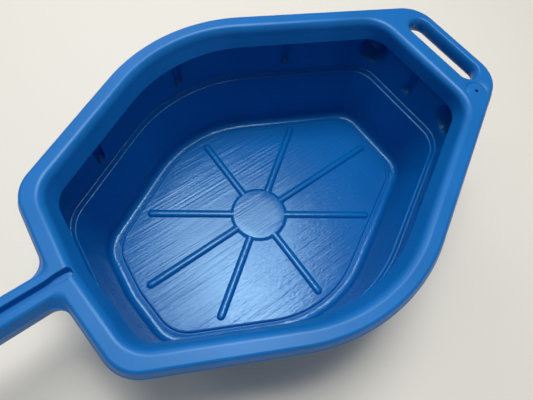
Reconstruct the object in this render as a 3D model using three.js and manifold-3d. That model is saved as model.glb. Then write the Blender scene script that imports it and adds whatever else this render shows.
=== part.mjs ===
// Blow-moulded plastic oil drain pan with a slotted hand grip at one end and a stick handle at the other.
// Millimetres, +Z up. X runs from the stick handle (-X) to the hand grip (+X). The pan stands on z = 0.
// The moulding is divided into its working zones, each one a closed solid of the wall's real thickness.
import * as THREE from "three";
import { mergeVertices } from "three/addons/utils/BufferGeometryUtils.js";
import Module from "manifold-3d";

const wasm = await Module();
wasm.setup();

// ---- driving dimensions ----
const WALL = 3;                 // wall thickness of the moulding
const GAP = 0.3;                // clearance between two zones
const EDGE_ROUND = 7;           // width in plan of the rim's sloped side and its rounding
const TOP = 167;                // height of the rim's top face
const PARTING = 157;            // height of the mould's parting line round the rim and the handle
const RIM_UNDER = 148;          // height of the rim's underside
const LIP_EDGE = 144;           // height of the splash lip's cut edge
const WALL_TOP = 142;           // where the basin's wall turns out into the rim
const LEDGE = 89;               // height of the ledge half way up the wall
const LEDGE_DROP = 5;
const LEDGE_WIDTH = 5;
const FILLET_TOP = 22;          // where the lower wall meets the floor fillet
const CHANNEL = 3;              // inside floor of the channel round the pad
const PAD = 6.5;                // top face of the raised floor pad
const FRONT_SLOPE = Math.tan(THREE.MathUtils.degToRad(26.5)); // flanks towards the hand grip
const BACK_SLOPE = Math.tan(THREE.MathUtils.degToRad(28));    // flanks towards the stick handle
const END_SLOPE = Math.tan(THREE.MathUtils.degToRad(4.8));    // each half of the handle end leans out
const END_RADIUS = 60;          // rounding of the handle end's shallow point

// Plan outlines: distance from the basin's centre to the grip end, the flank's widest point and the
// handle end, and the corner radii at the grip end, the flank and the handle end.
const plan = (front, side, back, rFront, rSide, rBack) => ({ front, side, back, rFront, rSide, rBack });
const RIM_OUT = plan(284, 208, 219, 42, 182, 38);
const RIM_IN = plan(226, 187, 200, 37.5, 155, 35);
const LIP = plan(223, 177, 191, 28, 160, 26);
const WALL_OUT = plan(228, 188, 202, 36, 180, 36);
const WALL_MID = plan(222, 180, 196, 35, 175, 38);
const WALL_LOW = plan(219, 169, 186, 37, 158, 44);
const PAD_EDGE = plan(206, 152, 170, 48, 134, 42);

const HUB = { x: 5, radius: 36.5, rise: 2.2 };
const RIB = { width: 8, rise: 2.7 };
const RIBS = [[0, 190], [35, 148], [90, 128], [145, 143], [180, 165], [215, 143], [270, 128], [325, 148]];

// Hand slot through the flange: narrowest at the parting line, rolled out to a wider mouth above and below.
const SLOT = { x: 257, width: 24, length: 97 };
const SLOT_TOP = { x: 257.5, width: 30, length: 110 };
const SLOT_UNDER = { x: 258, width: 32, length: 108 };
const VENT = { x: 242, y: -65, radius: 2 };       // blow-pin hole in the flange
const HANDLE = { end: 362, half: 15.5, under: 137, fillet: 16, root: 9 }; // its root reaches in under the rim
const GROOVE = { start: 345, tip: 203, half: 4, floor: 160 };
// Stiffening grooves in the upper wall, by x and side.
const GUSSETS = [[-128, 1], [-4, 1], [128, 1], [-128, -1], [-4, -1], [128, -1]];
const GUSSET_RADIUS = 5;
const GUSSET_FOOT = 108;
const POCKET = { x: 220, y: 63, z: 124, radius: 16 };  // hollow in the wall under each corner of the flange

const blue = new THREE.MeshStandardMaterial({ color: 0x1457a8, roughness: 0.45, metalness: 0 });

// ---- outlines ----
function grow(p, d) {
  const side = d / Math.cos(Math.atan(FRONT_SLOPE));
  return plan(p.front + d, p.side + side, p.back + d, p.rFront + d, p.rSide + d, p.rBack + d);
}

// The plan outline as points, anticlockwise: a polygon with each corner rounded by an arc.
function outline(p) {
  const halfFront = p.side - p.front * FRONT_SLOPE;
  const cornerX = -(p.back - p.side * END_SLOPE) / (1 - BACK_SLOPE * END_SLOPE);
  const halfBack = p.side + cornerX * BACK_SLOPE;
  const corners = [
    [p.front, -halfFront, p.rFront, 6], [p.front, halfFront, p.rFront, 6], [0, p.side, p.rSide, 8],
    [cornerX, halfBack, p.rBack, 6], [-p.back, 0, END_RADIUS, 2], [cornerX, -halfBack, p.rBack, 6],
    [0, -p.side, p.rSide, 8],
  ];
  return corners.flatMap((corner, i) => {
    const at = new THREE.Vector2(corner[0], corner[1]);
    const from = new THREE.Vector2(...corners.at(i - 1)).sub(at).normalize();
    const to = new THREE.Vector2(...corners[(i + 1) % corners.length]).sub(at).normalize();
    const half = Math.acos(from.dot(to)) / 2;
    const centre = from.clone().add(to).normalize().multiplyScalar(corner[2] / Math.sin(half)).add(at);
    const start = from.clone().multiplyScalar(corner[2] / Math.tan(half)).add(at).sub(centre).angle();
    const steps = corner[3];
    return Array.from({ length: steps + 1 }, (_, k) => {
      const angle = start + ((Math.PI - 2 * half) * k) / steps;
      return new THREE.Vector2(Math.cos(angle), Math.sin(angle)).multiplyScalar(corner[2]).add(centre);
    });
  });
}

const blend = (a, b, t) => Object.fromEntries(Object.keys(a).map((k) => [k, a[k] + (b[k] - a[k]) * t]));

// ---- solids ----
function solid(geometry) {
  const bare = geometry.index ? geometry.toNonIndexed() : geometry;
  bare.deleteAttribute("normal");
  bare.deleteAttribute("uv");
  const merged = mergeVertices(bare, 1e-4);
  return new wasm.Manifold(new wasm.Mesh({
    numProp: 3,
    vertProperties: merged.attributes.position.array,
    triVerts: new Uint32Array(merged.index.array),
  }));
}

// Skins a row of outlines. A closed row makes a ring, an open one is capped at both ends.
function loft(rows, closed) {
  const n = rows[0].length;
  const m = rows.length;
  const points = rows.flat();
  const index = [];
  for (let j = 0; j < (closed ? m : m - 1); j++) {
    for (let i = 0; i < n; i++) {
      const a = j * n + i;
      const b = j * n + ((i + 1) % n);
      const c = ((j + 1) % m) * n + i;
      const d = ((j + 1) % m) * n + ((i + 1) % n);
      index.push(a, b, d, a, d, c);
    }
  }
  if (!closed) {
    for (const [row, turned] of [[0, true], [m - 1, false]]) {
      const flat = rows[row].map((v) => new THREE.Vector2(v.x, v.y));
      for (const face of THREE.ShapeUtils.triangulateShape(flat, [])) {
        const ids = face.map((k) => row * n + k);
        index.push(...(turned ? ids.reverse() : ids));
      }
    }
  }
  const geometry = new THREE.BufferGeometry().setFromPoints(points);
  geometry.setIndex(index);
  return solid(geometry);
}

const row = (p, z) => outline(p).map((v) => new THREE.Vector3(v.x, v.y, z));

// A ring zone of the wall: levels are [plan, z] pairs round the section, seen with +Z up and the
// outside to the right, taken anticlockwise.
const ring = (levels) => loft(levels.map(([p, z]) => row(p, z)), true);
const stack = (levels) => loft(levels.map(([p, z]) => row(p, z)), false);

function box(x0, x1, y0, y1, z0, z1) {
  const geometry = new THREE.BoxGeometry(x1 - x0, y1 - y0, z1 - z0);
  return solid(geometry.translate((x0 + x1) / 2, (y0 + y1) / 2, (z0 + z1) / 2));
}

// A long round-ended outline along Y at height z, wider by d all round.
function slotRow({ x, width, length }, d, z) {
  const r = width / 2 + d;
  const reach = (length - width) / 2;
  const shape = new THREE.Shape();
  shape.absarc(x, reach, r, 0, Math.PI);
  shape.absarc(x, -reach, r, Math.PI, 2 * Math.PI);
  return shape.extractPoints(5).shape.map((v) => new THREE.Vector3(v.x, v.y, z));
}

// A bar with one domed end: from the flat end at "from" to the dome at "to".
function domedBar(from, to, radius) {
  const dome = Array.from({ length: 5 }, (_, k) => (Math.PI / 2) * (k / 4));
  const length = from.distanceTo(to);
  const profile = [new THREE.Vector2(0, 0), new THREE.Vector2(radius, 0)];
  for (const a of dome) profile.push(new THREE.Vector2(radius * Math.cos(a), length + radius * Math.sin(a)));
  const geometry = new THREE.LatheGeometry(profile, 14);
  const turn = new THREE.Quaternion().setFromUnitVectors(
    new THREE.Vector3(0, 1, 0), to.clone().sub(from).normalize());
  return solid(geometry.applyQuaternion(turn).translate(from.x, from.y, from.z));
}

function part(name, manifold) {
  const made = manifold.getMesh();
  const geometry = new THREE.BufferGeometry();
  geometry.setAttribute("position", new THREE.BufferAttribute(new Float32Array(made.vertProperties), 3));
  geometry.setIndex(new THREE.BufferAttribute(new Uint32Array(made.triVerts), 1));
  const mesh = new THREE.Mesh(geometry, blue);
  mesh.name = name;
  return mesh;
}

// ---- the floor ----
// Raised pad with a hub disc and eight ribs that run out from it.
function floorPad() {
  const edge = grow(PAD_EDGE, -GAP);
  let pad = stack([[edge, PAD - WALL], [edge, PAD - 1], [grow(edge, -1.2), PAD]]);
  const disc = new THREE.CylinderGeometry(HUB.radius - 3, HUB.radius, HUB.rise + 1, 32);
  pad = pad.add(solid(disc.rotateX(Math.PI / 2).translate(HUB.x, 0, PAD + (HUB.rise - 1) / 2)));
  for (const [degrees, reach] of RIBS) {
    const section = new THREE.Shape();
    section.moveTo(-RIB.width / 2, -1);
    section.lineTo(RIB.width / 2, -1);
    section.lineTo(RIB.width / 2, 0);
    section.quadraticCurveTo(0, 2 * RIB.rise, -RIB.width / 2, 0);
    const start = HUB.radius - 6;
    const rib = new THREE.ExtrudeGeometry(section, {
      depth: reach - start - 3, steps: 1, curveSegments: 6, bevelEnabled: false,
    });
    rib.rotateX(Math.PI / 2).rotateZ(Math.PI / 2).translate(start, 0, PAD);
    rib.rotateZ(THREE.MathUtils.degToRad(degrees)).translate(HUB.x, 0, 0);
    pad = pad.add(solid(rib));
  }
  return pad;
}

// Channel round the pad, whose underside is the foot that the pan stands on, and the floor fillet.
function footChannel() {
  const inner = grow(WALL_LOW, -9);
  return ring([
    [PAD_EDGE, PAD - WALL], [grow(PAD_EDGE, 3), 0], [grow(WALL_LOW, -6), 0], [grow(WALL_LOW, -2), 2.5],
    [grow(WALL_LOW, 1.2), 8], [grow(WALL_LOW, WALL), FILLET_TOP], [WALL_LOW, FILLET_TOP],
    [grow(WALL_LOW, -1.8), 12], [grow(WALL_LOW, -5), 6], [inner, CHANNEL],
    [grow(PAD_EDGE, 3), CHANNEL], [grow(PAD_EDGE, 1), PAD - 1], [PAD_EDGE, PAD - 0.6],
  ]);
}

// ---- the basin's wall ----
function lowerWall() {
  const top = LEDGE - LEDGE_DROP - GAP;
  return ring([
    [grow(WALL_LOW, WALL), FILLET_TOP + GAP], [grow(WALL_MID, WALL), top], [WALL_MID, top],
    [WALL_LOW, FILLET_TOP + GAP],
  ]);
}

function wallLedge() {
  const low = LEDGE - LEDGE_DROP;
  const out = LEDGE_WIDTH;
  return ring([
    [grow(WALL_MID, WALL), low], [grow(WALL_MID, WALL + out), LEDGE - 2],
    [grow(WALL_MID, WALL + out), LEDGE + 4], [grow(WALL_MID, out), LEDGE + 4],
    [grow(WALL_MID, out - 1), LEDGE + 1], [grow(WALL_MID, 1), LEDGE - 1.5], [WALL_MID, low + 1],
  ]);
}

const ABOVE_LEDGE = grow(WALL_MID, LEDGE_WIDTH);

// The point of the upper wall's inside face at x, on the +Y or -Y flank, at height z.
function wallPoint(x, sideways, z) {
  const p = blend(ABOVE_LEDGE, WALL_OUT, (z - LEDGE - 4) / (WALL_TOP - LEDGE - 4));
  const points = outline(p);
  const hits = points.flatMap((a, i) => {
    const b = points[(i + 1) % points.length];
    if ((a.x - x) * (b.x - x) > 0 || a.x === b.x) return [];
    return [a.y + ((b.y - a.y) * (x - a.x)) / (b.x - a.x)];
  });
  return new THREE.Vector3(x, sideways > 0 ? Math.max(...hits) : Math.min(...hits), z);
}

function ball(x, y, z, radius) {
  return solid(new THREE.SphereGeometry(radius, 16, 10).translate(x, y, z));
}

// Upper wall, with short stiffening grooves and two corner pockets that stand out from its outside face.
function upperWall() {
  const low = LEDGE + 4 + GAP;
  let wall = ring([
    [grow(ABOVE_LEDGE, WALL), low], [grow(WALL_OUT, WALL), WALL_TOP],
    [WALL_OUT, WALL_TOP], [ABOVE_LEDGE, low],
  ]);
  const inside = stack([[ABOVE_LEDGE, low - 1], [WALL_OUT, WALL_TOP + 1]]);
  const above = box(-300, 300, -250, 250, WALL_TOP, WALL_TOP + 60);
  const ends = GUSSETS.map(([x, s]) => [wallPoint(x, s, WALL_TOP), wallPoint(x, s, GUSSET_FOOT)]);
  const frontTop = new THREE.Vector3(WALL_OUT.front, 0, WALL_TOP);
  ends.push([frontTop, new THREE.Vector3(ABOVE_LEDGE.front, 0, GUSSET_FOOT)]);
  for (const [top, foot] of ends) {
    const start = top.clone().lerp(foot, -0.2);
    wall = wall.add(domedBar(start, foot, GUSSET_RADIUS + 2.5).subtract(inside).subtract(above));
  }
  for (const y of [POCKET.y, -POCKET.y]) {
    wall = wall.add(ball(POCKET.x, y, POCKET.z, POCKET.radius + WALL).subtract(inside).subtract(above));
    wall = wall.subtract(ball(POCKET.x, y, POCKET.z, POCKET.radius));
  }
  for (const [top, foot] of ends) {
    wall = wall.subtract(domedBar(top.clone().lerp(foot, -0.2), foot, GUSSET_RADIUS));
  }
  return wall;
}

// ---- the rim ----
// Channel of the groove's walls, cut to the floor that the groove has.
const grooveCut = () => {
  const depth = TOP - GROOVE.floor;
  return box(-GROOVE.start, -GROOVE.tip, -GROOVE.half, GROOVE.half, GROOVE.floor, TOP + 5)
    .add(solid(new THREE.CylinderGeometry(GROOVE.half, GROOVE.half, depth + 5, 16).rotateX(Math.PI / 2)
      .translate(-GROOVE.tip, 0, GROOVE.floor + (depth + 5) / 2)));
};

// The hand slot's solid from the parting line out to a mouth at height z and beyond, wider by d all round.
function slotBody(mouth, z, d, beyond) {
  const rows = [slotRow(SLOT, d, PARTING)];
  for (const [wider, rise] of [[0.35, 0.4], [0.65, 0.75], [1, 1]]) {
    rows.push(slotRow(blend(SLOT, mouth, wider), d, PARTING + (z - PARTING) * rise));
  }
  if (beyond) rows.push(slotRow(mouth, d, z + beyond));
  return loft(z > PARTING ? rows : rows.reverse(), false);
}

// Outside of the rim's upper half, grown by d.
const rimCap = (d) => stack([
  [grow(RIM_OUT, d), PARTING - d], [grow(RIM_OUT, d - 1), PARTING + 5],
  [grow(RIM_OUT, d - 3), TOP - 1.5], [grow(RIM_OUT, d - EDGE_ROUND), TOP + d],
]);

function rimTop() {
  const low = PARTING + GAP / 2;
  const inner = grow(RIM_IN, 4);
  let rim = ring([
    [RIM_OUT, low], [grow(RIM_OUT, -1), PARTING + 5], [grow(RIM_OUT, -3), TOP - 1.5],
    [grow(RIM_OUT, -EDGE_ROUND), TOP], [inner, TOP], [inner, TOP - WALL],
    [grow(RIM_OUT, -EDGE_ROUND), TOP - WALL], [grow(RIM_OUT, -WALL), PARTING + 4],
    [grow(RIM_OUT, -WALL), low],
  ]);
  const half = GROOVE.half + WALL;
  const channel = box(-RIM_OUT.back + 5, -GROOVE.tip, -half, half, low, TOP - 1);
  const tip = new THREE.CylinderGeometry(half, half, TOP - 1 - low, 20);
  const cap = solid(tip.rotateX(Math.PI / 2).translate(-GROOVE.tip, 0, (low + TOP - 1) / 2));
  const gap = box(0, 300, -150, 150, PARTING - 1, low);
  rim = rim.add(channel.add(cap).subtract(lipRegion()));
  rim = rim.add(slotBody(SLOT_TOP, TOP - 1, WALL, 0).subtract(gap));
  rim = rim.subtract(slotBody(SLOT_TOP, TOP, 0, 10)).subtract(grooveCut());
  const vent = new THREE.CylinderGeometry(VENT.radius, VENT.radius, 3 * WALL, 12);
  return rim.subtract(solid(vent.rotateX(Math.PI / 2).translate(VENT.x, VENT.y, TOP - WALL / 2)));
}

function rimUnderside() {
  const high = PARTING - GAP / 2;
  const root = grow(WALL_OUT, 1);
  const rim = ring([
    [RIM_OUT, high], [grow(RIM_OUT, -WALL), high], [grow(RIM_OUT, -WALL), RIM_UNDER + 5],
    [grow(RIM_OUT, -6), RIM_UNDER + WALL], [grow(root, 5), RIM_UNDER + WALL], [grow(root, 1), RIM_UNDER],
    [WALL_OUT, WALL_TOP + GAP], [grow(WALL_OUT, WALL), WALL_TOP + GAP], [grow(root, 5), RIM_UNDER - 1],
    [grow(root, 7), RIM_UNDER], [grow(RIM_OUT, -5), RIM_UNDER], [grow(RIM_OUT, -1), RIM_UNDER + 3],
  ]);
  const gap = box(0, 300, -150, 150, high, PARTING + 1);
  const wall = slotBody(SLOT_UNDER, RIM_UNDER + 1, WALL, 0).subtract(gap);
  return rim.add(wall).subtract(slotBody(SLOT_UNDER, RIM_UNDER, 0, -10));
}

// Everything on the basin's side of the joint between the rim's top and the splash lip.
const lipRegion = () => stack([[grow(RIM_IN, 4), PARTING - 20], [grow(RIM_IN, 4), TOP + 5]]);

// Lip that hangs from the rim's rounded inner edge to the edge where the top was cut open.
function splashLip() {
  const joint = grow(RIM_IN, 4 - GAP);
  const lip = ring([
    [joint, TOP], [grow(RIM_IN, 1), TOP - 0.8], [grow(RIM_IN, -1), TOP - 3], [grow(RIM_IN, -2), TOP - 6],
    [LIP, LIP_EDGE], [grow(LIP, WALL), LIP_EDGE], [grow(RIM_IN, 1), TOP - 6.5], [joint, TOP - WALL],
  ]);
  return lip.subtract(grooveCut());
}

// ---- the stick handle ----
// Plan outline of the handle, inset by d: a bar with a round end that flares into the rim.
function handleOutline(d) {
  const half = HANDLE.half - d;
  const fillet = HANDLE.fillet - 1.5 * d;
  const edge = -RIM_OUT.back;
  const shape = new THREE.Shape();
  shape.moveTo(edge + HANDLE.root, half + fillet);
  shape.lineTo(edge, half + fillet);
  shape.absarc(edge - fillet, half + fillet, fillet, 0, -Math.PI / 2, true);
  shape.absarc(-HANDLE.end + HANDLE.half, 0, half, Math.PI / 2, (3 * Math.PI) / 2, false);
  shape.absarc(edge - fillet, -half - fillet, fillet, Math.PI / 2, 0, true);
  shape.lineTo(edge + HANDLE.root, -half - fillet);
  return shape.extractPoints(6).shape;
}

const handleStack = (levels) =>
  loft(levels.map(([d, z]) => handleOutline(d).map((v) => new THREE.Vector3(v.x, v.y, z))), false);

// Both halves stop short of the rim, whose outside has its own lower shape.
const rimSkirt = (d) => stack([
  [grow(RIM_OUT, d - 5), RIM_UNDER - d], [grow(RIM_OUT, d - 1), RIM_UNDER + 3 - d],
  [grow(RIM_OUT, d), PARTING + d],
]);

function handleTop() {
  const low = PARTING + GAP / 2;
  const outer = handleStack([[0, low], [1, PARTING + 5], [3, TOP - 1.5], [5.5, TOP]]);
  const hollow = handleStack([[WALL, low - 1], [WALL + 1, PARTING + 4], [WALL + 4, TOP - WALL]]);
  const half = GROOVE.half + WALL;
  const channel = box(-GROOVE.start - WALL, -RIM_OUT.back, -half, half, low, TOP - 1);
  return outer.subtract(hollow).add(channel).subtract(grooveCut()).subtract(rimCap(GAP));
}

function handleUnderside() {
  const high = PARTING - GAP / 2;
  const low = HANDLE.under;
  const outer = handleStack([[9, low], [4, low + 2], [1, low + 7], [0, high]]);
  const hollow = handleStack([[9, low + WALL], [4.5, low + 5.5], [WALL, low + 10], [WALL, high + 1]]);
  return outer.subtract(hollow).subtract(rimSkirt(GAP));
}

const group = new THREE.Group();
group.add(
  part("floor_pad", floorPad()),
  part("foot_channel", footChannel()),
  part("lower_wall", lowerWall()),
  part("wall_ledge", wallLedge()),
  part("upper_wall", upperWall()),
  part("rim_underside", rimUnderside()),
  part("rim_top", rimTop()),
  part("splash_lip", splashLip()),
  part("handle_top", handleTop()),
  part("handle_underside", handleUnderside()),
);
// The origin is the middle of the whole length, handle included.
group.position.x = (HANDLE.end - RIM_OUT.front) / 2;
export default group;
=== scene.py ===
"""Blue blow-moulded oil drain pan: detailed surfaces, moulded-plastic materials and a soft studio set
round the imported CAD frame. Plan dimensions are millimetres from the basin's centre; objects are metres."""

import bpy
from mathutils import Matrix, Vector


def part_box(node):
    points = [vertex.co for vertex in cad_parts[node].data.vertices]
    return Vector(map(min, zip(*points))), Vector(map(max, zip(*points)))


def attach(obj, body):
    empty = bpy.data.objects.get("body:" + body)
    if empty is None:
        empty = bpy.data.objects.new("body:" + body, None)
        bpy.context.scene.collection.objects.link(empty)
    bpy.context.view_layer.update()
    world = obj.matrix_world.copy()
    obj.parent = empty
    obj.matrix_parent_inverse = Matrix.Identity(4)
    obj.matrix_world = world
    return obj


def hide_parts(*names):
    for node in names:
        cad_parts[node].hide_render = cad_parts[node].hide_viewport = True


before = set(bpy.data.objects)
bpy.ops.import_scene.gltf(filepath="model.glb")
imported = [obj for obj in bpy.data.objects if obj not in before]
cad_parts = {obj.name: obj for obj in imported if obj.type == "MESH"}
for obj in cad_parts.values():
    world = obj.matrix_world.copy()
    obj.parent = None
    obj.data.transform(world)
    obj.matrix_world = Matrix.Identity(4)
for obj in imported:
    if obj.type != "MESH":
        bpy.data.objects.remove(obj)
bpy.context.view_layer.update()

import math

import bpy
from mathutils import Matrix, Vector
from mathutils.geometry import delaunay_2d_cdt

# ---------------------------------------------------------------- driving dimensions, millimetres
WALL = 3.0              # moulding's wall
LIP_WALL = 2.4          # thinner towards the trimmed lip
TOP = 167.0             # rim's top face
PARTING = 157.0         # mould parting line
RIM_UNDER = 148.0
LIP_EDGE = 144.0
WALL_TOP = 142.0
LEDGE = 89.0
LEDGE_WIDTH = 5.0
LEDGE_LOW = 84.0
FILLET_TOP = 22.0
CHANNEL = 3.0
PAD = 6.5
FRONT_SLOPE = math.tan(math.radians(26.5))
BACK_SLOPE = math.tan(math.radians(28.0))
END_LEAN = math.radians(4.8)
END_SLOPE = math.tan(END_LEAN)
END_RADIUS = 60.0

# Plan outlines: grip end, flank point, handle end, and the three corner radii.
RIM_OUT = (284.0, 208.0, 219.0, 42.0, 182.0, 38.0)
RIM_IN = (226.0, 187.0, 200.0, 37.5, 155.0, 35.0)
LIP = (223.0, 177.0, 191.0, 28.0, 160.0, 26.0)
WALL_OUT = (228.0, 188.0, 202.0, 36.0, 180.0, 36.0)
WALL_MID = (222.0, 180.0, 196.0, 35.0, 175.0, 38.0)
WALL_LOW = (219.0, 169.0, 186.0, 37.0, 158.0, 44.0)
PAD_EDGE = (206.0, 152.0, 170.0, 48.0, 134.0, 42.0)
PAD_INSET = 1.6         # the flat pad starts this far inside PAD_EDGE
EDGE_ROUND = 6.5        # rim's outer slope and rounding, in plan
EDGE_RADIUS = 3.6
SIDE_SLOPE = math.radians(64)
LIP_ROUND = 4.0         # rim's inner rounding starts this far outside RIM_IN
LIP_RADIUS = 7.0

HUB_X = 5.0
HUB_RADIUS = 36.5
HUB_RISE = 2.4
RIB_HALF = 4.2
RIB_RISE = 2.9
RIDGE_FOOT = 1.6        # fillet round the foot of a rib or the hub
RIDGE_SINK = 0.05       # how far its edge lies under the pad's face
RIBS = ((0, 190), (35, 148), (90, 128), (145, 143), (180, 165), (215, 143), (270, 128), (325, 148))

# Hand slot as (x, width, length): narrowest at the parting line, rolled out above and below.
SLOT = (257.0, 24.0, 97.0)
SLOT_TOP = (257.5, 30.0, 110.0)
SLOT_UNDER = (258.0, 32.0, 108.0)
VENT = Vector((242.0, -65.0))
VENT_RADIUS = 2.0
INSERT_RADIUS = 11.5    # witness ring of the blow-pin insert
INSERT_DEPTH = 0.8
INSERT_HALF = 0.8       # half width of the ring
INSERT_SIDE = math.radians(55)      # direction in which the ring is deepest

HANDLE_END = 362.0
HANDLE_HALF = 15.5
HANDLE_UNDER = 137.0
HANDLE_FILLET = 16.0
HANDLE_ROOT = 15.0      # the handle's lower half reaches this far in under the rim
HANDLE_PART = RIM_OUT[2] + HANDLE_FILLET + 6.0      # the handle's top parts from the rim's here
GROOVE_START = 345.0
GROOVE_TIP = 203.0
GROOVE_FLAT = 2.0       # half width of the groove's floor
GROOVE_HALF = 3.9       # half width at its top edges
GROOVE_WIDER = 1.1      # more half width where it crosses the rim,
GROOVE_WIDENS = 222.0   # from here
GROOVE_WIDENING = 12.0  # and over this length
GROOVE_DEPTH = 7.0
MOUTH = 34.0            # half of the rim's end that the handle's outline takes the place of

GUSSETS = ((-128, 1), (-4, 1), (128, 1), (-128, -1), (-4, -1), (128, -1))
GUSSET_HALF = 5.0
GUSSET_DEPTH = 7.0
GUSSET_FOOT = 103.5
POCKET = Vector((222.0, 63.0, 124.0))   # hollow in the wall under each corner of the flange
POCKET_RADIUS = 20.0
POCKET_DEPTH = 19.0
POCKET_TURN = math.radians(32)          # direction in which it is pushed out

# Mesh steps.
FRONT_STEPS = 24
FLANK_STEPS = (24, 120)             # coarse and fine
SIDE_ARC_STEPS = (40, 72)
CORNER_STEPS = 14
BACK_STEPS = 88
TIP_STEPS = 8
HANDLE_STEPS = 60
FLARE_STEPS = 14
CAP_STEPS = 24
LEAD_STEPS = 8
SLOT_SIDE_STEPS = 40
SLOT_END_STEPS = 24
HUB_STEPS = 96

# The basin's centre in the row frame, from the rim's grip end.
CENTRE_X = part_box("rim_top")[1][0] * 1000 - RIM_OUT[0]


# ---------------------------------------------------------------- plan outlines
def grow(plan, d):
    side = d / math.cos(math.atan(FRONT_SLOPE))
    return (plan[0] + d, plan[1] + side, plan[2] + d, plan[3] + d, plan[4] + d, plan[5] + d)


def mix(a, b, t):
    return tuple(p + (q - p) * t for p, q in zip(a, b))


def corners(plan, fine):
    """The polygon's corners as (point, radius, arc steps, steps of the straight that follows)."""
    front, side, back, r_front, r_side, r_back = plan
    half_front = side - front * FRONT_SLOPE
    corner_x = -(back - side * END_SLOPE) / (1 - BACK_SLOPE * END_SLOPE)
    half_back = side + corner_x * BACK_SLOPE
    flank = FLANK_STEPS[fine]
    side_arc = SIDE_ARC_STEPS[fine]
    return (
        ((front, -half_front), r_front, CORNER_STEPS, FRONT_STEPS),
        ((front, half_front), r_front, CORNER_STEPS, flank),
        ((0.0, side), r_side, side_arc, flank),
        ((corner_x, half_back), r_back, CORNER_STEPS, BACK_STEPS),
        ((-back, 0.0), END_RADIUS, TIP_STEPS, BACK_STEPS),
        ((corner_x, -half_back), r_back, CORNER_STEPS, flank),
        ((0.0, -side), r_side, side_arc, flank),
    )


def outline(plan, fine=False):
    """Closed anticlockwise outline: rounded corners joined by evenly divided straights."""
    ring = corners(plan, fine)
    arcs = []
    for i, (point, radius, steps, _) in enumerate(ring):
        at = Vector(point)
        before = (Vector(ring[i - 1][0]) - at).normalized()
        after = (Vector(ring[(i + 1) % len(ring)][0]) - at).normalized()
        half = math.acos(max(-1.0, min(1.0, before.dot(after)))) / 2
        centre = at + (before + after).normalized() * (radius / math.sin(half))
        first = at + before * (radius / math.tan(half)) - centre
        start = math.atan2(first.y, first.x)
        turn = math.pi - 2 * half
        arcs.append([centre + radius * Vector((math.cos(start + turn * k / steps),
                                               math.sin(start + turn * k / steps)))
                     for k in range(steps + 1)])
    points = []
    for i, arc in enumerate(arcs):
        points += arc
        ahead = arcs[(i + 1) % len(arcs)][0]
        count = ring[i][3]
        points += [arc[-1].lerp(ahead, k / count) for k in range(1, count)]
    return points


def handle_outline(d):
    """Open outline of the handle inset by d, from the rim's +Y side round the end to its -Y side.

    Its flare is wide at the parting line and nearly sharp at the top face."""
    half = HANDLE_HALF - d
    radius = max(2.5, HANDLE_FILLET - 1.7 * d)
    y_c = half + radius
    x_c = d - RIM_OUT[2] - (radius - y_c * math.sin(END_LEAN)) / math.cos(END_LEAN)
    sweep = math.pi / 2 - END_LEAN
    flare = []
    for k in range(FLARE_STEPS + 1):
        turn = -END_LEAN - sweep * k / FLARE_STEPS
        flare.append(Vector((x_c + radius * math.cos(turn), y_c + radius * math.sin(turn))))
    end_x = -HANDLE_END + HANDLE_HALF
    side = [flare[-1].lerp(Vector((end_x, half)), k / HANDLE_STEPS) for k in range(1, HANDLE_STEPS)]
    cap = []
    for k in range(CAP_STEPS + 1):
        turn = math.pi / 2 + math.pi * k / CAP_STEPS
        cap.append(Vector((end_x + half * math.cos(turn), half * math.sin(turn))))
    mirror = [Vector((p.x, -p.y)) for p in reversed(flare + side)]
    return flare + side + cap + mirror


def merged_outline(d):
    """The rim's outside, inset by d, with the handle's outline let into its end."""
    whole = outline(RIM_OUT)
    covered = [i for i, p in enumerate(whole) if p.x < 0 and abs(p.y) < MOUTH]
    rim = outline(grow(RIM_OUT, -d))
    handle = handle_outline(d)
    before = rim[covered[0] - 1]
    after = rim[covered[-1] + 1]
    lead_in = [before.lerp(handle[0], k / LEAD_STEPS) for k in range(1, LEAD_STEPS)]
    lead_out = [handle[-1].lerp(after, k / LEAD_STEPS) for k in range(1, LEAD_STEPS)]
    return rim[:covered[0]] + lead_in + handle + lead_out + rim[covered[-1] + 1:]


# ---------------------------------------------------------------- surface details
def smooth(t):
    t = max(0.0, min(1.0, t))
    return t * t * (3 - 2 * t)


def groove_drop(x, y):
    """Depth of the handle's top groove at a point."""
    over = max(-x - GROOVE_START, GROOVE_TIP + x, 0.0)
    wider = GROOVE_WIDER * smooth((x + GROOVE_WIDENS) / GROOVE_WIDENING)
    reach = math.hypot(over, y) - wider
    return GROOVE_DEPTH * (1 - smooth((reach - GROOVE_FLAT) / (GROOVE_HALF - GROOVE_FLAT)))


def insert_drop(x, y):
    """The blow-pin insert's witness ring, deepest on the side towards the corner."""
    away = Vector((x, y)) - VENT
    sided = smooth(0.7 + math.cos(math.atan2(away.y, away.x) - INSERT_SIDE))
    return INSERT_DEPTH * sided * (1 - smooth(abs(away.length - INSERT_RADIUS) / INSERT_HALF))


def top_drop(point):
    """Lowers a point of the top faces into the grooves."""
    if point.z < PARTING + 1:
        return point
    share = (point.z - PARTING) / (TOP - PARTING)
    drop = (groove_drop(point.x, point.y) + insert_drop(point.x, point.y)) * share
    return Vector((point.x, point.y, point.z - drop))


# ---------------------------------------------------------------- mesh building
def new_mesh(name, verts, faces):
    """A mesh in the row frame's metres."""
    mesh = bpy.data.meshes.new(name)
    mesh.from_pydata([((v.x + CENTRE_X) / 1000, v.y / 1000, v.z / 1000) for v in verts], [], faces)
    return mesh


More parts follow.
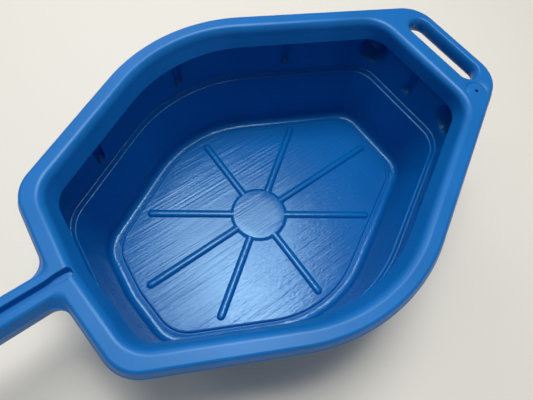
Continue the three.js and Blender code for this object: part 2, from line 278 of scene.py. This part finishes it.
def new_piece(name, verts, faces, inside_faces, node, sharp=38.0):
    """A visible piece that stands for a node. inside_faces are the indices that take the basin's gloss."""
    mesh = new_mesh(name, verts, faces)
    mesh.materials.append(MATTE)
    mesh.materials.append(GLOSS)
    for i in inside_faces:
        mesh.polygons[i].material_index = 1
    mesh.polygons.foreach_set("use_smooth", [True] * len(faces))
    mesh.set_sharp_from_angle(angle=math.radians(sharp))
    mesh.update()
    piece = bpy.data.objects.new(name, mesh)
    bpy.context.scene.collection.objects.link(piece)
    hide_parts(node)
    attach(piece, "root")
    return piece


def bend(a, b, c, steps=6):
    """Levels along a quadratic curve from a towards b and on to c, without a itself."""
    out = []
    for k in range(1, steps + 1):
        t = k / steps
        plan = mix(mix(a[0], b[0], t), mix(b[0], c[0], t), t)
        z = (1 - t) ** 2 * a[1] + 2 * t * (1 - t) * b[1] + t * t * c[1]
        out.append((plan, z))
    return out


def skin(rows, closed=False, flip=False):
    """Faces between rows of equal length, each row a closed loop."""
    n = len(rows[0])
    m = len(rows)
    faces = []
    for j in range(m if closed else m - 1):
        below = j * n
        above = ((j + 1) % m) * n
        for i in range(n):
            k = (i + 1) % n
            quad = (below + i, below + k, above + k, above + i)
            faces.append(quad[::-1] if flip else quad)
    return [v for row in rows for v in row], faces


def zone(name, inner, outer, slot, shift=None, fine=False, sharp=38.0):
    """A wall zone: inner levels run from the top down, outer levels from the bottom up."""
    levels = inner + outer
    rows = []
    for plan, z in levels:
        row = [Vector((p.x, p.y, z)) for p in outline(plan, fine)]
        rows.append([shift(v) for v in row] if shift else row)
    verts, faces = skin(rows, closed=True, flip=True)
    columns = len(rows[0])
    inside = range(columns * (len(inner) - 1)) if slot == "basin_inside" else []
    return new_piece(name, verts, faces, inside, name, sharp)


# ---------------------------------------------------------------- basin
ABOVE = grow(WALL_MID, LEDGE_WIDTH)


def ladder(a, b, steps):
    """Evenly spaced levels from a to b, both included."""
    return [(mix(a[0], b[0], k / steps), a[1] + (b[1] - a[1]) * k / steps) for k in range(steps + 1)]


def grown(levels, d):
    """The levels again, outside by d and in reverse, as a wall's outer face."""
    return [(grow(plan, d), z) for plan, z in reversed(levels)]


def gusset_depth(along, z):
    """How far a stiffening groove pushes out at a height and a distance along the wall from its middle."""
    below = max(GUSSET_FOOT + GUSSET_HALF - z, 0.0)
    reach = math.hypot(along, below)
    return GUSSET_DEPTH * math.sqrt(max(0.0, 1 - (reach / GUSSET_HALF) ** 2))


def wall_push(point):
    """Moves a point of the upper wall out into the stiffening grooves and the corner pockets."""
    pushes = [(0.0, Vector((0.0, 0.0)))]
    for x, side in GUSSETS:
        if point.y * side >= 0:
            pushes.append((gusset_depth(point.x - x, point.z), Vector((0.0, float(side)))))
    if point.x > WALL_MID[0] - 2:
        pushes.append((gusset_depth(point.y, point.z), Vector((1.0, 0.0))))
    for side in (1, -1):
        away = Vector((point.x - POCKET.x, point.y - side * POCKET.y, point.z - POCKET.z)).length
        depth = POCKET_DEPTH * smooth((POCKET_RADIUS - away) / (POCKET_RADIUS * 0.6))
        pushes.append((depth, Vector((math.cos(POCKET_TURN), side * math.sin(POCKET_TURN)))))
    depth, out = max(pushes, key=lambda push: push[0])
    return Vector((point.x + out.x * depth, point.y + out.y * depth, point.z))


def make_upper_wall():
    levels = ladder((WALL_OUT, WALL_TOP), (ABOVE, LEDGE + 4), 30)
    return zone("upper_wall", levels, grown(levels, WALL), "basin_inside", wall_push, fine=True, sharp=70)


def make_wall_ledge():
    """Two narrow steps with a steep band between them, which catch the light as a pair of lines."""
    def level(outset, z):
        return grow(WALL_MID, outset), z

    levels = [(ABOVE, LEDGE + 4), level(4.9, LEDGE + 3.4)]
    levels += bend(levels[-1], level(4.7, LEDGE + 2.5), level(4.1, LEDGE + 2.4), 4)
    levels += bend(levels[-1], level(3.2, LEDGE + 2.3), level(3.0, LEDGE + 1.3), 5)
    levels.append(level(1.9, LEDGE_LOW + 2.4))
    levels += bend(levels[-1], level(1.7, LEDGE_LOW + 1.6), level(1.1, LEDGE_LOW + 1.5), 4)
    levels += bend(levels[-1], level(0.1, LEDGE_LOW + 1.4), (WALL_MID, LEDGE_LOW), 5)
    return zone("wall_ledge", levels, grown(levels, WALL), "basin_inside", sharp=75)


def make_lower_wall():
    levels = ladder((WALL_MID, LEDGE_LOW), (WALL_LOW, FILLET_TOP), 6)
    return zone("lower_wall", levels, grown(levels, WALL), "basin_inside")


def make_foot_channel():
    """The fillet down from the wall, the channel's flat floor and the short rise to the pad."""
    def wall(outset, z):
        return grow(WALL_LOW, outset), z

    def pad(outset, z):
        return grow(PAD_EDGE, outset), z

    levels = ladder((WALL_LOW, FILLET_TOP), wall(-1.0, FILLET_TOP - 10), 3)
    levels += bend(levels[-1], wall(-1.8, CHANNEL), wall(-8.6, CHANNEL), 12)
    levels += bend(pad(3.4, CHANNEL), pad(1.4, CHANNEL), pad(0.9, 4.6), 4)
    levels += bend(levels[-1], pad(0.4, PAD), pad(-PAD_INSET, PAD), 5)
    under = [pad(-PAD_INSET, PAD - WALL), pad(2.5, PAD - WALL), pad(3.6, 0.6), pad(4.4, 0.0), wall(-8, 0.0)]
    under += bend(under[-1], wall(0.6, 0.2), wall(WALL, FILLET_TOP), 10)
    return zone("foot_channel", levels, under, "basin_inside")


def close_middle(verts, faces, n, centre):
    """Closes the last row, of n points, with a fan round its centre."""
    last = len(verts) - n
    verts.append(centre)
    faces += [(last + i, last + (i + 1) % n, len(verts) - 1) for i in range(n)]


def make_floor_pad():
    """A flat plate: rings that shrink to the middle on top, the same below, and a wall round the edge."""
    edge = outline(grow(PAD_EDGE, -PAD_INSET))
    n = len(edge)
    verts, faces = skin([[Vector((p.x * s, p.y * s, PAD)) for p in edge] for s in (1.0, 0.8, 0.6, 0.4, 0.2)])
    close_middle(verts, faces, n, Vector((0.0, 0.0, PAD)))
    inside = range(len(faces))
    count = len(verts)
    verts += [Vector((v.x, v.y, PAD - WALL)) for v in verts]
    faces += [tuple(count + i for i in reversed(f)) for f in faces]
    faces += [(i, count + i, count + (i + 1) % n, (i + 1) % n) for i in range(n)]
    return new_piece("floor_pad", verts, faces, inside, "floor_pad")


def rib_height(reach):
    """Height of a rib at a distance from its middle line: a round top on a small foot fillet."""
    low = RIB_RISE * 0.06
    if reach <= RIB_HALF:
        return low + (RIB_RISE - low) * math.sqrt(max(0.0, 1 - (reach / RIB_HALF) ** 2))
    fall = smooth((reach - RIB_HALF) / RIDGE_FOOT)
    return low * (1 - fall) - RIDGE_SINK * fall


def make_rib(index, degrees, reach):
    """A raised rib from the hub's edge to a round end."""
    start = HUB_RADIUS - 3.2
    stop = reach - RIB_HALF
    across = [RIB_HALF * math.sin(math.radians(-90 + 180 * k / 14)) for k in range(15)]
    across = [-RIB_HALF - RIDGE_FOOT] + across + [RIB_HALF + RIDGE_FOOT]
    rows = [[(start + (stop - start) * k / 40, y) for y in across] for k in range(41)]
    for k in range(1, 9):
        turn = math.pi / 2 * k / 8
        rows.append([(stop + abs(y) * math.sin(turn), y * math.cos(turn)) for y in across])
    rotate = Matrix.Rotation(math.radians(degrees), 2)
    verts = []
    for row in rows:
        for x, y in row:
            spot = rotate @ Vector((x, y))
            height = rib_height(math.hypot(max(0.0, x - stop), y))
            verts.append(Vector((spot.x + HUB_X, spot.y, PAD + height)))
    n = len(across)
    faces = [(j * n + i, (j + 1) * n + i, (j + 1) * n + i + 1, j * n + i + 1)
             for j in range(len(rows) - 1) for i in range(n - 1)]
    name = f"floor_rib_{index + 1}"
    return new_piece(name, verts, faces, range(len(faces)), "floor_pad", 80)


def make_hub():
    """A plain raised disc: its rounded edge from the foot inwards, then the flat top."""
    edge = ((RIDGE_FOOT, -RIDGE_SINK), (0.6, 0.1), (-0.2, 0.5), (-1.2, 1.3), (-2.0, HUB_RISE - 0.4),
            (-2.7, HUB_RISE - 0.08), (-3.4, HUB_RISE), (-0.4 * HUB_RADIUS, HUB_RISE),
            (-0.75 * HUB_RADIUS, HUB_RISE))
    middle = Vector((HUB_X, 0.0))
    verts, faces = skin([[Vector((p.x, p.y, PAD + z)) for p in circle(middle, HUB_RADIUS + outset, HUB_STEPS)]
                         for outset, z in edge])
    close_middle(verts, faces, HUB_STEPS, Vector((HUB_X, 0.0, PAD + HUB_RISE)))
    return new_piece("floor_hub", verts, faces, range(len(faces)), "floor_pad", 80)


# ---------------------------------------------------------------- rim, lip and handle
JOINT = grow(RIM_IN, LIP_ROUND)


def make_splash_lip():
    """The rim's inner rounding, the lip that hangs from it, and both again as the lip's back."""
    levels = []
    for k in range(9):
        turn = math.radians(50) * k / 8
        inset = LIP_ROUND - LIP_RADIUS * math.sin(turn)
        levels.append((grow(RIM_IN, inset), TOP - LIP_RADIUS * (1 - math.cos(turn))))
    hang = (mix(grow(RIM_IN, -3.4), LIP, 0.25), TOP - 10)
    levels += bend(levels[-1], (grow(RIM_IN, -3.6), TOP - 4.4), hang, 5)
    lower = ladder(hang, (LIP, LIP_EDGE), 5)[1:]
    levels += lower
    back = grown([hang] + lower, LIP_WALL) + [(grow(RIM_IN, 1.5), TOP - 5.5), (JOINT, TOP - WALL)]
    return zone("splash_lip", levels, back, "rim_outside", top_drop)


def stadium(x, width, length):
    """Closed outline of a slot along Y with round ends."""
    r = width / 2
    reach = length / 2 - r
    end = []
    for k in range(SLOT_END_STEPS + 1):
        turn = math.pi * k / SLOT_END_STEPS
        end.append((r * math.cos(turn), reach + r * math.sin(turn)))
    side = [(-r, reach - 2 * reach * k / SLOT_SIDE_STEPS) for k in range(1, SLOT_SIDE_STEPS)]
    half = end + side
    return [Vector((x + p, q)) for p, q in half] + [Vector((x - p, -q)) for p, q in half]


def circle(centre, radius, steps):
    return [centre + radius * Vector((math.cos(math.tau * k / steps), math.sin(math.tau * k / steps)))
            for k in range(steps)]


def flat_region(outer, holes, loose):
    """Triangles that fill outer less its holes, through the loose points."""
    loops = [outer] + holes
    points = [p for loop in loops for p in loop] + loose
    edges = []
    first = 0
    for loop in loops:
        n = len(loop)
        edges += [(first + i, first + (i + 1) % n) for i in range(n)]
        first += n
    found, _, faces, _, _, _ = delaunay_2d_cdt([Vector(p) for p in points], edges, [], 1, 1e-5)
    return found, faces


def groove_grid():
    """Points along the handle's groove, closest together where its walls are."""
    across = [0.0, 1.0] + [2.0 + 0.4 * k for k in range(9)] + [6.2]
    across += [-y for y in across[1:]]
    count = int((GROOVE_START + GROOVE_HALF + 2 - GROOVE_TIP) / 1.25)
    return [Vector((-GROOVE_TIP - 1.25 * k, y)) for k in range(count) for y in across]


def inside_loop(point, loop):
    """True where a line from the point towards +X crosses the loop an odd number of times."""
    odd = False
    for a, b in zip(loop, loop[1:] + loop[:1]):
        if (a.y > point.y) != (b.y > point.y) and point.x < (b.x - a.x) * (point.y - a.y) / (b.y - a.y) + a.x:
            odd = not odd
    return odd


def slot_roll(mouth, z, steps=10):
    """Rings of the hand slot's rolled wall, from its mouth at height z to the parting line."""
    rings = []
    for k in range(steps + 1):
        turn = math.pi / 2 * k / steps
        level = z + (PARTING - z) * (1 - math.cos(turn))
        rings.append([Vector((p.x, p.y, level)) for p in stadium(*mix(mouth, SLOT, math.sin(turn)))])
    return rings


def rim_section():
    """The rim's outer section as (inset, height): rounding, sloped side, flash and the inside face."""
    section = []
    for k in range(6):
        turn = SIDE_SLOPE * k / 5
        section.append((EDGE_ROUND - EDGE_RADIUS * math.sin(turn), TOP - EDGE_RADIUS * (1 - math.cos(turn))))
    section += [(0.9, PARTING + 1.6), (0.5, PARTING + 0.9), (0.0, PARTING + 0.5), (0.0, PARTING)]
    return section + [(WALL, PARTING), (WALL + 1, PARTING + 4), (EDGE_ROUND, TOP - WALL)]


def make_top_shells():
    """The rim's top and the handle's top are one surface, parted where the handle leaves the rim."""
    edge = merged_outline(EDGE_ROUND)
    holes = [outline(JOINT), stadium(*SLOT_TOP), circle(VENT, VENT_RADIUS, 24)]
    loose = groove_grid()
    for d in (-0.9, -0.45, 0.0, 0.45, 0.9):
        loose += circle(VENT, INSERT_RADIUS + d, 72)
    loose = [p for p in loose if inside_loop(p, edge) and not inside_loop(p, holes[0])]
    found, faces = flat_region(edge, holes, loose)
    verts = [Vector((p.x, p.y, TOP)) for p in found]
    kept = []
    for face in faces:
        mid = sum((found[i] for i in face), Vector((0.0, 0.0))) / len(face)
        if not any(inside_loop(mid, loop) for loop in holes):
            kept.append(tuple(face))

    def add_strip(rows, flip):
        base = len(verts)
        more, quads = skin(rows, flip=flip)
        verts.extend(more)
        kept.extend(tuple(base + i for i in quad) for quad in quads)

    add_strip([[Vector((p.x, p.y, z)) for p in merged_outline(d)] for d, z in rim_section()], True)
    add_strip(slot_roll(SLOT_TOP, TOP), False)
    add_strip([[Vector((p.x, p.y, z)) for p in holes[2]] for z in (TOP, TOP - WALL)], False)
    verts = [top_drop(v) for v in verts]
    split = {"rim_top": [], "handle_top": []}
    for face in kept:
        mid = sum((verts[i] for i in face), Vector((0.0, 0.0, 0.0))) / len(face)
        split["handle_top" if mid.x < -HANDLE_PART else "rim_top"].append(face)
    for name, own in split.items():
        used = sorted({i for face in own for i in face})
        at = {old: new for new, old in enumerate(used)}
        new_piece(name, [verts[i] for i in used], [tuple(at[i] for i in f) for f in own], [], name,
                  50)


def make_rim_underside():
    """The hollow rim's lower half: its ceiling inside, its face below and its side up to the parting."""
    root = grow(WALL_OUT, 1.0)
    ceiling = [(grow(RIM_OUT, -WALL), PARTING), (grow(RIM_OUT, -WALL), RIM_UNDER + 5)]
    ceiling += [(grow(RIM_OUT, -6), RIM_UNDER + WALL), (grow(root, 5), RIM_UNDER + WALL)]
    ceiling += bend(ceiling[-1], (grow(root, 1), RIM_UNDER + WALL), (WALL_OUT, WALL_TOP))
    under = [(grow(WALL_OUT, WALL), WALL_TOP)]
    under += bend(under[-1], (grow(root, 3.2), RIM_UNDER), (grow(root, 8), RIM_UNDER))
    under += [(grow(RIM_OUT, -7), RIM_UNDER)]
    under += bend(under[-1], (grow(RIM_OUT, -0.8), RIM_UNDER), (grow(RIM_OUT, -0.4), PARTING - 3))
    under += [(grow(RIM_OUT, -0.4), PARTING - 0.6), (RIM_OUT, PARTING - 0.3), (RIM_OUT, PARTING)]
    cut_slot(zone("rim_underside", ceiling, under, "rim_outside"))


def cut_slot(piece):
    """Opens the hand slot through the rim's underside and closes the cut with a rolled wall."""
    mouth = stadium(*SLOT_UNDER)
    verts, faces = skin([[Vector((p.x, p.y, z)) for p in mouth] for z in (RIM_UNDER - 20, PARTING + 20)])
    n = len(mouth)
    faces += [tuple(reversed(range(n))), tuple(range(n, 2 * n))]
    cutter = bpy.data.objects.new("slot_cutter", new_mesh("slot_cutter", verts, faces))
    bpy.context.scene.collection.objects.link(cutter)
    cut = piece.modifiers.new("slot", "BOOLEAN")
    cut.operation = "DIFFERENCE"
    cut.solver = "EXACT"
    cut.object = cutter
    bpy.context.view_layer.objects.active = piece
    with bpy.context.temp_override(object=piece, active_object=piece):
        bpy.ops.object.modifier_apply(modifier=cut.name)
    bpy.data.objects.remove(cutter)
    rows = slot_roll(SLOT_UNDER, RIM_UNDER)
    rows.append([Vector((p.x, p.y, PARTING)) for p in mouth])
    verts, faces = skin(rows, closed=True, flip=True)
    new_piece("slot_wall", verts, faces, [], "rim_underside")


def make_handle_underside():
    """The handle's lower half: flared where it meets the rim, round at its end."""
    root = -RIM_OUT[2] + HANDLE_ROOT

    def row(d, z):
        side = handle_outline(d)
        points = [Vector((root, side[0].y)), *side, Vector((root, side[-1].y))]
        return [Vector((p.x, p.y, z)) for p in points]

    section = []
    for k in range(11):
        turn = math.pi / 2 * k / 10
        section.append((9.5 * (1 - math.sin(turn)), HANDLE_UNDER + 12.0 * (1 - math.cos(turn))))
    section += [(0.3, PARTING - 0.8), (0.0, PARTING - 0.4), (0.0, PARTING)]
    rows = [row(d, z) for d, z in section]
    verts, faces = skin(rows)
    n = len(rows[0])
    for i in range(n // 2):
        faces.append(tuple(dict.fromkeys((i, n - 1 - i, n - 2 - i, i + 1))))
    new_piece("handle_underside", verts, faces, [], "handle_underside")


# ---------------------------------------------------------------- materials
def plastic(name, color, roughness, sheen):
    """Dense pigment tints what the plastic's surface reflects."""
    material = bpy.data.materials.new(name)
    material.use_nodes = True
    tree = material.node_tree
    shader = tree.nodes["Principled BSDF"]
    shader.inputs["Base Color"].default_value = (*color, 1)
    shader.inputs["Roughness"].default_value = roughness
    shader.inputs["IOR"].default_value = 1.51
    shader.inputs["Specular Tint"].default_value = (*sheen, 1)
    coords = tree.nodes.new("ShaderNodeTexCoord")
    return material, tree, shader, coords


def noise(tree, coords, scale, stretch=(1, 1, 1), detail=2.0):
    mapping = tree.nodes.new("ShaderNodeMapping")
    mapping.inputs["Scale"].default_value = stretch
    tree.links.new(coords.outputs["Object"], mapping.inputs["Vector"])
    node = tree.nodes.new("ShaderNodeTexNoise")
    node.inputs["Scale"].default_value = scale
    node.inputs["Detail"].default_value = detail
    tree.links.new(mapping.outputs["Vector"], node.inputs["Vector"])
    return node


def bump(tree, height, strength, distance, normal=None):
    node = tree.nodes.new("ShaderNodeBump")
    node.inputs["Strength"].default_value = strength
    node.inputs["Distance"].default_value = distance
    tree.links.new(height, node.inputs["Height"])
    if normal:
        tree.links.new(normal.outputs["Normal"], node.inputs["Normal"])
    return node


def tint(tree, shader, factor, dark, light):
    """Base colour that drifts between two shades."""
    ramp = tree.nodes.new("ShaderNodeValToRGB")
    ramp.color_ramp.elements[0].position = 0.3
    ramp.color_ramp.elements[1].position = 0.7
    ramp.color_ramp.elements[0].color = (*dark, 1)
    ramp.color_ramp.elements[1].color = (*light, 1)
    tree.links.new(factor, ramp.inputs["Fac"])
    tree.links.new(ramp.outputs["Color"], shader.inputs["Base Color"])


def make_matte():
    """Mould-contact faces: a fine sandblasted grain."""
    material, tree, shader, coords = plastic("sandblasted_blue", (0.003, 0.135, 0.45), 0.38, (0.5, 0.76, 1.0))
    grain = noise(tree, coords, 1400, detail=3.0)
    patches = noise(tree, coords, 18, detail=1.0)
    soft = bump(tree, patches.outputs["Fac"], 0.015, 0.004)
    fine = bump(tree, grain.outputs["Fac"], 0.1, 0.0003, soft)
    tree.links.new(fine.outputs["Normal"], shader.inputs["Normal"])
    tint(tree, shader, patches.outputs["Fac"], (0.003, 0.126, 0.42), (0.005, 0.142, 0.47))
    return material


def make_gloss():
    """Free inner faces: semi-gloss, with the parison's flow streaks and an orange-peel ripple.

    The streaks run along X and are strongest on the +Y side, the ripple towards -Y."""
    material, tree, shader, coords = plastic("parison_blue", (0.001, 0.112, 0.4), 0.2, (0.5, 0.8, 1.0))
    streaks = noise(tree, coords, 380, stretch=(0.024, 1.0, 0.6), detail=2.5)
    ripple = noise(tree, coords, 540, stretch=(0.4, 1.0, 1.0), detail=0.5)
    region = noise(tree, coords, 9, detail=1.0)
    place = tree.nodes.new("ShaderNodeSeparateXYZ")
    tree.links.new(coords.outputs["Object"], place.inputs["Vector"])
    ahead = tree.nodes.new("ShaderNodeMath")
    ahead.operation = "MULTIPLY_ADD"
    ahead.inputs[1].default_value = -1.6
    ahead.inputs[2].default_value = -0.38
    tree.links.new(place.outputs["Y"], ahead.inputs[0])
    share = tree.nodes.new("ShaderNodeMath")
    share.use_clamp = True
    tree.links.new(ahead.outputs[0], share.inputs[0])
    tree.links.new(region.outputs["Fac"], share.inputs[1])
    both = tree.nodes.new("ShaderNodeMix")
    tree.links.new(share.outputs[0], both.inputs[0])
    tree.links.new(streaks.outputs["Fac"], both.inputs[2])
    tree.links.new(ripple.outputs["Fac"], both.inputs[3])
    wave = bump(tree, both.outputs[0], 0.6, 0.0008)
    tree.links.new(wave.outputs["Normal"], shader.inputs["Normal"])
    tint(tree, shader, region.outputs["Fac"], (0.001, 0.105, 0.38), (0.001, 0.12, 0.42))
    return material


# ---------------------------------------------------------------- stage, light and camera
FLOOR_SIZE = 8.0        # metres
FLOOR_GAP = 0.0004      # the floor lies this far under the foot


def make_stage():
    bpy.ops.mesh.primitive_plane_add(size=FLOOR_SIZE, location=(0, 0, -FLOOR_GAP))
    floor = bpy.context.active_object
    floor.name = "studio_floor"
    material = bpy.data.materials.new("pale_floor")
    material.use_nodes = True
    shader = material.node_tree.nodes["Principled BSDF"]
    shader.inputs["Base Color"].default_value = (0.8, 0.77, 0.7, 1)
    shader.inputs["Roughness"].default_value = 0.6
    floor.data.materials.append(material)


SKY_LOW = (0.24, 0.24, 0.24)        # the room's walls
SKY_HIGH = (0.13, 0.15, 0.17)       # and its darker ceiling


def area_light(name, location, target, size, power, color):
    data = bpy.data.lights.new(name, "AREA")
    data.shape = "RECTANGLE"
    data.size, data.size_y = size
    data.energy = power
    data.color = color
    lamp = bpy.data.objects.new(name, data)
    bpy.context.scene.collection.objects.link(lamp)
    lamp.location = location
    lamp.rotation_euler = (Vector(target) - Vector(location)).to_track_quat("-Z", "Y").to_euler()
    return lamp


def make_lights():
    area_light("overhead", (0.3, 0.38, 2.0), (0.0, 0.0, 0.0), (0.9, 0.9), 29, (1.0, 0.98, 0.95))
    area_light("window", (0.5, 2.2, 1.6), (0.0, 0.0, 0.1), (1.2, 1.0), 10, (0.93, 0.97, 1.0))
    area_light("side_panel", (-0.75, 0.8, 1.9), (-0.1, 0.0, 0.1), (0.8, 0.8), 3.5, (0.97, 0.98, 1.0))
    area_light("spark", (0.25, 0.1, 2.0), (0.0, 0.0, 0.0), (0.22, 0.22), 4, (1.0, 0.99, 0.96))
    fill = area_light("fill", (0.3, -1.5, 0.25), (0.1, 0.0, 0.0), (1.8, 0.4), 1.5, (1.0, 0.96, 0.93))
    fill.visible_glossy = False
    world = bpy.data.worlds.new("studio")
    bpy.context.scene.world = world
    world.use_nodes = True
    tree = world.node_tree
    coords = tree.nodes.new("ShaderNodeTexCoord")
    split = tree.nodes.new("ShaderNodeSeparateXYZ")
    sky = tree.nodes.new("ShaderNodeValToRGB")
    sky.color_ramp.elements[0].position = 0.05
    sky.color_ramp.elements[0].color = (*SKY_LOW, 1)
    sky.color_ramp.elements[1].position = 0.75
    sky.color_ramp.elements[1].color = (*SKY_HIGH, 1)
    tree.links.new(coords.outputs["Generated"], split.inputs["Vector"])
    tree.links.new(split.outputs["Z"], sky.inputs["Fac"])
    tree.links.new(sky.outputs["Color"], tree.nodes["Background"].inputs["Color"])


CAMERA = Vector((-147.4, -146.1, 503.2))    # millimetres from the basin's centre
CAMERA_AZIMUTH = math.radians(42.2)
CAMERA_DROP = math.radians(64.79)
CAMERA_ROLL = math.radians(12.2)
CAMERA_LENS = 27.52


def make_camera():
    data = bpy.data.cameras.new("camera")
    data.lens = CAMERA_LENS
    data.sensor_width = 36
    data.clip_start = 0.01
    camera = bpy.data.objects.new("camera", data)
    bpy.context.scene.collection.objects.link(camera)
    forward = Vector((math.cos(CAMERA_DROP) * math.cos(CAMERA_AZIMUTH),
                      math.cos(CAMERA_DROP) * math.sin(CAMERA_AZIMUTH), -math.sin(CAMERA_DROP)))
    aim = forward.to_track_quat("-Z", "Y").to_matrix().to_4x4() @ Matrix.Rotation(CAMERA_ROLL, 4, "Z")
    place = Vector(((CAMERA.x + CENTRE_X) / 1000, CAMERA.y / 1000, CAMERA.z / 1000))
    camera.matrix_world = Matrix.Translation(place) @ aim
    bpy.context.scene.camera = camera


make_camera()
MATTE = make_matte()
GLOSS = make_gloss()
make_floor_pad()
make_hub()
for index, (degrees, reach) in enumerate(RIBS):
    make_rib(index, degrees, reach)
make_foot_channel()
make_lower_wall()
make_wall_ledge()
make_upper_wall()
make_splash_lip()
make_rim_underside()
make_top_shells()
make_handle_underside()
make_stage()
make_lights()
bpy.context.scene.view_settings.view_transform = "Standard"
